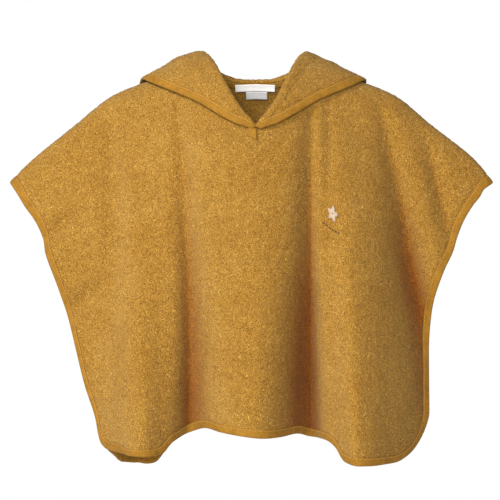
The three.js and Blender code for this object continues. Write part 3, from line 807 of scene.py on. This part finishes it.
def panel(name, node, side):
    facing, length = side["facing"], side["length"]
    p = panel_columns()
    radius_p = CORNER_RADIUS - SIDE_INSET + TUCK
    radius_q = CORNER_RADIUS - BINDING_WIDTH + TUCK
    turn = np.clip((np.abs(p) - STRAIGHT_HALF) / radius_p, 0, 1)
    low = length - CORNER_RADIUS + radius_q * np.sqrt(1 - turn**2)
    top = np.maximum(neck_depth(facing, np.abs(p)), HALF_SEAM_GAP)
    t = np.linspace(0, 1, PANEL_ROWS + 1)[:, None]
    q = top + (low - top) * t
    across = np.broadcast_to(p, q.shape)
    middle = cloth(across, -facing * q)
    out = outward(across, -facing * q)
    near_side = STRAIGHT_HALF + radius_p - np.abs(across)
    near_edge = np.minimum((low - q) * BUILT_DOWN, near_side * BUILT_ACROSS)
    near_neck = np.where(np.abs(across) < CROSSING + PAST_NECK, q - top, FAR_FROM_NECK)
    calm = calm_at_edge(near_edge) * calm_at_seam(near_neck, NECK_SEAM) * calm_at_seam(q, SHOULDER_SEAM)
    coarse = (slice(None, None, RATIO), slice(None, None, RATIO))
    outside = HALF_WALL + loop_height(middle, calm)
    inside = HALF_WALL + INSIDE_PILE * loop_height(middle + PANEL_INSIDE_SHIFT, calm)[coarse]
    outer = middle + out * outside[..., None]
    inner = middle[coarse] - out[coarse] * inside[..., None]
    piece = shell(name, outer, inner, RATIO, TERRY)
    # Painted shade: the deeper a fold lies, the darker its pile is painted.
    x, z = middle[..., 0], middle[..., 2]
    deep = -facing * fold_depth(side["folds"], x, z)
    painted_shade = smooth(deep / FULL_SHADE) * smooth(SHADE_AT_TOP + (-z - SHADE_TOP) / SHADE_GROWTH)
    set_painted_shade(piece, painted_shade, painted_shade[coarse])
    return settle(piece, node)


front = panel("front_terry", "front_panel", SIDES["front"])
back = panel("back_terry", "back_panel", SIDES["back"])


# Bindings: a strip folded over the cloth's edge. Rows of share across to the edge, and lift.
FOLD_PROFILE = [
    (-0.04, 1.0), (0.0, 1.75), (0.05, 2.0), (0.16, 1.9), (0.3, 2.1), (0.5, 2.15), (0.68, 2.05), (0.82, 1.85),
    (0.93, 1.3), (0.985, 0.6), (1.0, 0.0),
]

# Unevenness of a binding along its length: place in the uneven values, cell size and seed.
PUCKERS = (5, 6.0, 11)
SLOW_SWELL = (40, 23.0, 12)
PUCKER_HEIGHT = 0.16
SLOW_HEIGHT = 0.1

STITCH_SHARE = 0.16
STITCH_PITCH = 3.4
STITCH_LENGTH = 2.4
STITCH_START = 0.15
STITCH_LIFT = 2.0
STITCH_RADIUS = 0.33

# Shape of a thread: rows of share along it and share of its radius.
THREAD_PROFILE = [(0.0, 0.25), (0.18, 0.95), (0.82, 0.95), (1.0, 0.25)]
THREAD_SIDES = 5


def uneven_along(run, place, cell, seed):
    level = np.zeros(len(run))
    return lumps(np.stack([run, level, level + place], axis=1), cell, seed)[:, None] - 0.5


def folded_strip(name, node, net, normals, closed, run):
    """Binding on a net of lines from the inner side to the edge, with small puckers along its length."""
    upper = FOLD_PROFILE
    lower = [(share, -lift) for share, lift in FOLD_PROFILE[-2::-1]]
    shares = np.array([row[0] for row in upper + lower])
    lifts = np.array([row[1] for row in upper + lower])
    steps = net.shape[1] - 1
    at = np.clip(shares, 0, 1) * steps
    k = np.minimum(at.astype(int), steps - 1)
    part = (at - k)[None, :, None]
    middle = net[:, k] * (1 - part) + net[:, k + 1] * part
    out = normals[:, k] * (1 - part) + normals[:, k + 1] * part
    over_fold = np.sin(np.pi * np.clip(shares, 0, 1))[None, :]
    swell = 1 + PUCKER_HEIGHT * uneven_along(run, *PUCKERS) * over_fold
    swell = swell + SLOW_HEIGHT * uneven_along(run, *SLOW_SWELL)
    sections = middle + out * (lifts[None, :] * swell)[..., None]
    return settle(tube(name, sections, BINDING, closed), node)


def threads(name, starts, ends, ups, radius, material):
    """Short threads, each a small closed spindle from start to end."""
    starts, ends, ups = (np.asarray(v, float) for v in (starts, ends, ups))
    along = ends - starts
    length = np.linalg.norm(along, axis=1, keepdims=True)
    along = along / np.maximum(length, 1e-6)
    beside = np.cross(along, ups)
    beside /= np.maximum(np.linalg.norm(beside, axis=1, keepdims=True), 1e-6)
    upright = np.cross(beside, along)
    sides = THREAD_SIDES
    rings = []
    for share, size in THREAD_PROFILE:
        centre = starts + (ends - starts) * share
        for m in range(sides):
            angle = 2 * math.pi * m / sides
            rings.append(centre + radius * size * (math.cos(angle) * beside + math.sin(angle) * upright))
    points = np.stack(rings, axis=1)
    count, each = points.shape[:2]
    faces = []
    for n in range(count):
        base = n * each
        for ring in range(len(THREAD_PROFILE) - 1):
            for m in range(sides):
                a, b = base + ring * sides + m, base + ring * sides + (m + 1) % sides
                faces.append((a, b, b + sides, a + sides))
        faces.append(tuple(base + m for m in range(sides))[::-1])
        faces.append(tuple(base + each - sides + m for m in range(sides)))
    piece = add_mesh(name, points.reshape(-1, 3), faces, material)
    turn_out(piece)
    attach(piece, "root")
    return piece


def stitch_row(name, net, normals, closed):
    """Stitches along both faces of a strip, near its inner side."""
    steps = net.shape[1] - 1
    at = STITCH_SHARE * steps
    k = int(at)
    line = net[:, k] * (1 - (at - k)) + net[:, k + 1] * (at - k)
    out = normals[:, k] * (1 - (at - k)) + normals[:, k + 1] * (at - k)
    if closed:
        line, out = np.concatenate([line, line[:1]]), np.concatenate([out, out[:1]])
    run = run_along(line)
    count = int(run[-1] / STITCH_PITCH)
    begin = (np.arange(count) + STITCH_START) * run[-1] / count
    starts, ends, ups = [], [], []
    for face in (1, -1):
        for places, store in ((begin, starts), (begin + STITCH_LENGTH, ends)):
            up = at_run(places, run, out)
            store.append(at_run(places, run, line) + up * STITCH_LIFT * face)
        ups.append(up * face)
    starts, ends, ups = (np.concatenate(rows) for rows in (starts, ends, ups))
    return threads(name, starts, ends, ups, STITCH_RADIUS, STITCH)


STRIP_STEPS = 8
SIDE_LINES = 170
CORNER_LINES = 60
HEM_LINES = 118


def edge_places(side):
    """Border of half a panel from the shoulder tip to the middle of the hem, as inner and edge places."""
    facing, length = side["facing"], side["length"]
    straight = length - CORNER_RADIUS
    rows = np.linspace(0, straight, SIDE_LINES)[1:]
    side_inner = np.stack([np.full(rows.shape, HALF_WIDTH - SIDE_INSET), rows], axis=1)
    side_edge = np.stack([np.full(rows.shape, HALF_WIDTH), rows], axis=1)
    turns = np.linspace(math.pi / 2, 0, CORNER_LINES)[1:]

    def corner(radius_p, radius_q):
        places = [STRAIGHT_HALF + radius_p * np.sin(turns), straight + radius_q * np.cos(turns)]
        return np.stack(places, axis=1)

    turn_inner = corner(CORNER_RADIUS - SIDE_INSET, CORNER_RADIUS - BINDING_WIDTH)
    turn_edge = corner(CORNER_RADIUS, CORNER_RADIUS)
    hem = np.linspace(STRAIGHT_HALF, 0, HEM_LINES)[1:]
    hem_inner = np.stack([hem, np.full(hem.shape, length - BINDING_WIDTH)], axis=1)
    hem_edge = np.stack([hem, np.full(hem.shape, length)], axis=1)
    inner = np.concatenate([side_inner, turn_inner, hem_inner])
    edge = np.concatenate([side_edge, turn_edge, hem_edge])
    return inner * [1, -facing], edge * [1, -facing]


def edge_binding():
    mirror = np.array([-1, 1])
    tip_inner = np.array([[HALF_WIDTH - SIDE_INSET, 0.0]])
    tip_edge = np.array([[HALF_WIDTH, 0.0]])
    front_inner, front_edge = edge_places(SIDES["front"])
    back_inner, back_edge = edge_places(SIDES["back"])

    def loop(tip, front_line, back_line):
        return np.concatenate([
            tip, front_line, (front_line * mirror)[-2::-1], tip * mirror,
            back_line * mirror, back_line[-2::-1],
        ])

    inner = loop(tip_inner, front_inner, back_inner)
    edge = loop(tip_edge, front_edge, back_edge)
    shares = np.linspace(0, 1, STRIP_STEPS + 1)[None, :, None]
    places = inner[:, None] * (1 - shares) + edge[:, None] * shares
    net = cloth(places[..., 0], places[..., 1])
    normals = outward(places[..., 0], places[..., 1])
    strip = folded_strip("edge_binding_strip", "edge_binding", net, normals, True, run_along(net[:, 0]))
    stitches = stitch_row("edge_stitches", net, normals, True)
    return [strip, stitches]


edge_pieces = edge_binding()


# Hood: its section turns at ten places, with nine spans between them.
HOOD_SPANS = 9
ROUND_STEP = 0.01
SEAM_LEAN = 0.5
POINT_CLEARANCE = 0.35

# The wall rises from the seam by these shares of its rise, tips outwards, and arches over the seam.
LOW_RISE = 0.28
HIGH_RISE = 0.68
CREST_OUT = 0.1
MOST_CREST_OUT = 1.5
CREST_LIFT = 1.0
OVER_SEAM = 0.45
MOST_OVER_SEAM = 9.0
OVER_RISE = 0.55
OVER_NEAR = 0.45
OVER_ARCH = 0.3
FULL_RISE = 5.0
TURN_SHARES = np.array([0.17, 0.17, 0.3])

# Corners of the section are softened by taking the mean of places within reach.
SOFT_REACH = 0.3
SOFT_SHARES = [-1, -0.5, 0, 0.5, 1]


def hood_controls(hand, rounds):
    """Turning points of the hood's section at places round the neck, as p, q and lift."""
    at = {name: HOOD[name](rounds) for name in HOOD_COLUMNS}
    after, before = np.minimum(rounds + ROUND_STEP, 1), np.maximum(rounds - ROUND_STEP, 0)
    along_p = HOOD["seam_p"](after) - HOOD["seam_p"](before)
    along_q = HOOD["seam_q"](after) - HOOD["seam_q"](before)
    along = np.hypot(along_p, along_q)
    out_p, out_q = at["in_p"] - at["seam_p"], at["in_q"] - at["seam_q"]
    reach = np.hypot(out_p, out_q)
    flatter = at["flatter"] if hand > 0 else 1.0

    def stand(to_hole, to_out, lift):
        return np.stack([
            at["seam_p"] + along_q / along * to_hole + out_p / reach * to_out,
            at["seam_q"] - along_p / along * to_hole + out_q / reach * to_out,
            np.broadcast_to(lift, along.shape),
        ], axis=-1)

    def turn(name):
        return np.stack([at[name + "_p"], at[name + "_q"], at[name + "_h"] * flatter], axis=-1)

    rise = at["rise"]
    near, far, outer = turn("in"), turn("far"), turn("out")
    clear = HALF_WALL + HOOD_SEAM_GAP
    over = rise * OVER_RISE + near[..., 2] * OVER_NEAR + np.minimum(rise, FULL_RISE) * OVER_ARCH
    controls = [
        stand(clear, 0, -HALF_WALL / 2),
        stand(clear + SEAM_LEAN / 2, 0, rise * LOW_RISE),
        stand(clear + SEAM_LEAN, 0, rise * HIGH_RISE),
        stand(clear, np.minimum(reach * CREST_OUT, MOST_CREST_OUT), rise + CREST_LIFT),
        stand(0, np.minimum(reach * OVER_SEAM, MOST_OVER_SEAM), over),
        near,
        far - TURN_SHARES * (outer - near),
        far + TURN_SHARES * (outer - near),
        outer,
        turn("edge"),
    ]
    return np.stack(controls, axis=-2)


def hood_line(hand, rounds, u):
    """Middle of the hood for each round and each u, which counts turning points from the neck seam."""
    controls = hood_controls(hand, rounds)
    padded = np.concatenate([
        2 * controls[:, :1] - controls[:, 1:2], controls, 2 * controls[:, -1:] - controls[:, -2:-1],
    ], axis=1)
    rows = np.arange(len(rounds))[:, None]
    reach = np.minimum(SOFT_REACH, np.minimum(u, HOOD_SPANS - u))
    flat = 0
    for share in SOFT_SHARES:
        at = u + share * reach
        k = np.clip(np.floor(at).astype(int), 0, HOOD_SPANS - 1)
        weights = spline_weights(at - k)
        flat = flat + sum(weights[b][..., None] * padded[rows, k + b] for b in range(4)) / len(SOFT_SHARES)
    clearance = np.where(rounds < 0.5, POINT_CLEARANCE, 0)[:, None]
    p = np.maximum(flat[..., 0], clearance)
    feel = CLOSE_FEEL + (WIDE_FEEL - CLOSE_FEEL) * smooth(flat[..., 2] / WIDE_LIFT)
    return lifted(hand * p, flat[..., 1], flat[..., 2], feel)


LEAST_TERRY = 0.25
TERRY_UNDER_BINDING = 1.0
SECTION_SAMPLES = 361


def hood_net(hand, round_count, columns, at_mouth):
    """Middle of one hood half: the terry from the neck seam, or the strip along the mouth."""
    rounds = np.linspace(0, 1, round_count)
    fine = np.broadcast_to(np.linspace(0, HOOD_SPANS, SECTION_SAMPLES), (round_count, SECTION_SAMPLES))
    net = []
    for section in hood_line(hand, rounds, fine):
        run = run_along(section)
        start = max(run[-1] - BINDING_WIDTH, run[-1] * LEAST_TERRY)
        ends = (start, run[-1]) if at_mouth else (0, start + TERRY_UNDER_BINDING)
        net.append(at_run(np.linspace(*ends, columns), run, section))
    return np.array(net)


HOOD_ROUNDS = 109
HOOD_ROWS = 151
HOOD_BINDING_ROUNDS = 200
UNSTITCHED_LINES = 6
HOOD_RUN = 220.0


def hood_half(name, node, hand):
    middle = hood_net(hand, HOOD_ROUNDS, HOOD_ROWS, at_mouth=False)
    out = grid_normals(middle) * hand
    step = np.linalg.norm(np.diff(middle, axis=1), axis=2).mean(axis=1) * (HOOD_ROWS - 1)
    share = np.linspace(0, 1, HOOD_ROWS)[None, :]
    from_seam, from_edge = share * step[:, None], (1 - share) * step[:, None]
    from_front = np.linspace(0, 1, HOOD_ROUNDS)[:, None] * HOOD_RUN
    calm = calm_at_seam(from_seam, HOOD_SEAM) * calm_at_edge(from_edge) * calm_at_seam(from_front, HOOD_FRONT)
    calm = calm * calm_at_seam(HOOD_RUN - from_front, HOOD_BACK)
    outer = middle + out * (HALF_WALL + loop_height(middle, calm))[..., None]
    inner = middle - out * (HALF_WALL + loop_height(middle + HOOD_INSIDE_SHIFT, calm))[..., None]
    return settle(shell(name, outer, inner, 1, TERRY), node)


hood_left = hood_half("hood_left_terry", "hood_left", -1)
hood_right = hood_half("hood_right_terry", "hood_right", 1)


def hood_binding():
    nets, outs = [], []
    for hand in (-1, 1):
        strip = hood_net(hand, HOOD_BINDING_ROUNDS, STRIP_STEPS + 1, at_mouth=True)
        out = grid_normals(strip) * hand
        nets.append(strip if hand < 0 else strip[::-1])
        outs.append(out if hand < 0 else out[::-1])
    net, out = np.concatenate(nets), np.concatenate(outs)
    strip = folded_strip("hood_binding_strip", "hood_binding", net, out, False, run_along(net[:, -1]))
    stitched = slice(UNSTITCHED_LINES, -UNSTITCHED_LINES)
    stitches = stitch_row("hood_stitches", net[stitched], out[stitched], False)
    return [strip, stitches]


hood_pieces = hood_binding()


# Small flat pieces laid on a panel, thinner at the rim.
RIM_SHARE = 0.55
RIM_LINES = 2


def flat_piece(name, node, corners, lift, thickness, material, bend, count):
    """Closed plate between four corner places, with softly rounded faces; bend lifts its low edge."""
    a, b, c, d = (np.array(corner, float) for corner in corners)
    u = np.linspace(0, 1, count[0])[:, None, None]
    v = np.linspace(0, 1, count[1])[None, :, None]
    places = (a * (1 - u) + b * u) * (1 - v) + (d * (1 - u) + c * u) * v
    out = outward(places[..., 0], places[..., 1])
    middle = cloth(places[..., 0], places[..., 1])
    rim = np.minimum(np.minimum(u, 1 - u) * count[0], np.minimum(v, 1 - v) * count[1])[..., 0]
    half = thickness / 2 * (RIM_SHARE + (1 - RIM_SHARE) * smooth(rim / RIM_LINES))
    height = lift + bend(u[..., 0], v[..., 0])
    upper = middle + out * (height + half)[..., None]
    lower = middle + out * (height - half)[..., None]
    return settle(shell(name, upper, lower, 1, material), node)


# Tape and labels lie inside the back, and the tab outside the front.
TAPE_HALF_LENGTH = 46.0
TAPE_WIDTH = 10.0
TAPE_OVER_SEAM = 3.0
TAPE_HALF_WALL = 0.45
TAPE_COLUMNS = 61
TAPE_LIFT = -(HALF_WALL + 1.5)
LABEL_LIFT = -(HALF_WALL + 2.9)
LABEL_WALL = 0.7
TAB_LIFT = HALF_WALL + 3.2
TAB_WALL = 2.4


def neck_tape():
    p = np.linspace(-TAPE_HALF_LENGTH, TAPE_HALF_LENGTH, TAPE_COLUMNS)
    top = TAPE_OVER_SEAM - neck_depth(1, np.abs(p))
    shares = np.linspace(0, 1, STRIP_STEPS + 1)[None, :]
    q = top[:, None] - shares * TAPE_WIDTH
    across = np.broadcast_to(p[:, None], q.shape)
    middle, out = cloth(across, q), outward(across, q)
    half = TAPE_HALF_WALL * (0.5 + 0.5 * smooth(np.minimum(shares, 1 - shares) * STRIP_STEPS))
    upper = middle + out * (TAPE_LIFT - half)[..., None]
    lower = middle + out * (TAPE_LIFT + half)[..., None]
    return settle(shell("neck_tape_strip", upper, lower, 1, TAPE), "neck_tape")


tape = neck_tape()
neck_label = flat_piece(
    "neck_label_cloth", "neck_label", [(-25.5, -42), (25.5, -42), (25.5, -53), (-25.5, -53)],
    lift=LABEL_LIFT, thickness=LABEL_WALL, material=NECK_LABEL,
    bend=lambda u, v: -0.9 * v * v - 0.5 * v * (np.abs(2 * u - 1) ** 3), count=(49, 13),
)
size_label = flat_piece(
    "size_label_cloth", "size_label", [(-12.5, -53.6), (15.5, -53.6), (15.5, -65), (-12.5, -65)],
    lift=LABEL_LIFT + 0.1, thickness=LABEL_WALL, material=SIZE_LABEL,
    bend=lambda u, v: -1.0 - 0.9 * v, count=(25, 11),
)
flat_piece(
    "neck_tab_fold", "neck_tab", [(-9.5, 118), (0.7, 118.5), (0.7, 133), (-8.8, 127)],
    lift=TAB_LIFT, thickness=TAB_WALL, material=BINDING,
    bend=lambda u, v: 0.2 * np.sin(np.pi * u) * (1 - v), count=(17, 17),
)

# Small embroidery on the chest: a plain five-point star over a short row of running stitches.
STAR_PLACE = (122.0, 196.0)
STAR_OUTER, STAR_INNER = 10.2, 4.6
STAR_THREADS = 60
STAR_POINTS = 5
STAR_HOLE = 0.6
STAR_RADIUS = 0.42
RUNNING = [(-13.0, 15.5), (-8.0, 17.0), (-3.0, 17.8), (2.0, 18.0), (7.0, 17.6), (12.0, 16.4)]
RUNNING_LENGTH = 3.6
RUNNING_RADIUS = 0.72
THREAD_LIFT = HALF_WALL + 2.1


def on_front(places):
    places = np.asarray(places, float) + STAR_PLACE
    out = outward(places[:, 0], places[:, 1])
    return cloth(places[:, 0], places[:, 1]) + out * THREAD_LIFT, out


def star_edge(angle):
    """Distance from the star's middle to its edge in a direction, with a point upwards."""
    turn = abs((angle / (2 * math.pi / STAR_POINTS) + 0.5) % 1 - 0.5) * 2
    return STAR_OUTER + (STAR_INNER - STAR_OUTER) * turn


def chest_motif():
    starts, ends = [], []
    for k in range(STAR_THREADS):
        angle = 2 * math.pi * k / STAR_THREADS
        heading = np.array([math.sin(angle), -math.cos(angle)])
        starts.append(heading * STAR_HOLE)
        ends.append(heading * star_edge(angle))
    inner, out = on_front(starts)
    outer, _ = on_front(ends)
    star = threads("chest_star", inner, outer, out, STAR_RADIUS, CREAM_THREAD)
    begin, out = on_front(RUNNING)
    end, _ = on_front([(p + RUNNING_LENGTH, q) for p, q in RUNNING])
    row = threads("chest_stitches", begin, end, out, RUNNING_RADIUS, BROWN_THREAD)
    return [star, row]


motif = chest_motif()


# Floor and light, in metres.
FLOOR_Z = -0.72
FLOOR_HALF = 1.55
LIGHT_AIM = (0, 0, -0.2)
ROOM_TONES = [(0.15, 1.0), (0.26, 0.14)]


def make_floor():
    size = FLOOR_HALF
    mesh = bpy.data.meshes.new("floor")
    mesh.from_pydata(
        [(-size, -size, FLOOR_Z), (size, -size, FLOOR_Z), (size, size, FLOOR_Z), (-size, size, FLOOR_Z)],
        [],
        [(0, 1, 2, 3)],
    )
    nodes = Nodes("floor")
    colour = nodes.ramp(nodes.noise(2.0), [(0.3, (0.90, 0.90, 0.90)), (0.7, (0.93, 0.93, 0.93))])
    nodes.link(colour, nodes.shader.inputs["Base Color"])
    nodes.shader.inputs["Roughness"].default_value = 0.9
    mesh.materials.append(nodes.material)
    floor = bpy.data.objects.new("floor", mesh)
    bpy.context.scene.collection.objects.link(floor)


def area_light(name, place, size, energy):
    data = bpy.data.lights.new(name, "AREA")
    data.size = size
    data.energy = energy
    light = bpy.data.objects.new(name, data)
    light.location = place
    aim = Vector(LIGHT_AIM) - Vector(place)
    light.rotation_euler = aim.to_track_quat("-Z", "Y").to_euler()
    bpy.context.scene.collection.objects.link(light)


def make_world():
    """Soft room light: white round the horizon, dimmer overhead and underfoot."""
    world = bpy.data.worlds.new("studio")
    bpy.context.scene.world = world
    world.use_nodes = True
    tree = world.node_tree
    place = tree.nodes.new("ShaderNodeTexCoord")
    split = tree.nodes.new("ShaderNodeSeparateXYZ")
    height = tree.nodes.new("ShaderNodeMath")
    height.operation = "ABSOLUTE"
    ramp = tree.nodes.new("ShaderNodeValToRGB")
    for element, (position, tone) in zip(ramp.color_ramp.elements, ROOM_TONES):
        element.position = position
        element.color = (tone, tone, tone, 1)
    tree.links.new(place.outputs["Generated"], split.inputs["Vector"])
    tree.links.new(split.outputs["Z"], height.inputs[0])
    tree.links.new(height.outputs[0], ramp.inputs["Fac"])
    tree.links.new(ramp.outputs["Color"], tree.nodes["Background"].inputs["Color"])


def make_light():
    make_world()
    area_light("key", (-1.45, -1.85, 1.35), size=0.7, energy=80)
    area_light("front", (-0.3, -3.1, 0.3), size=1.0, energy=104)
    bpy.context.scene.view_settings.view_transform = "Standard"


make_floor()
make_light()
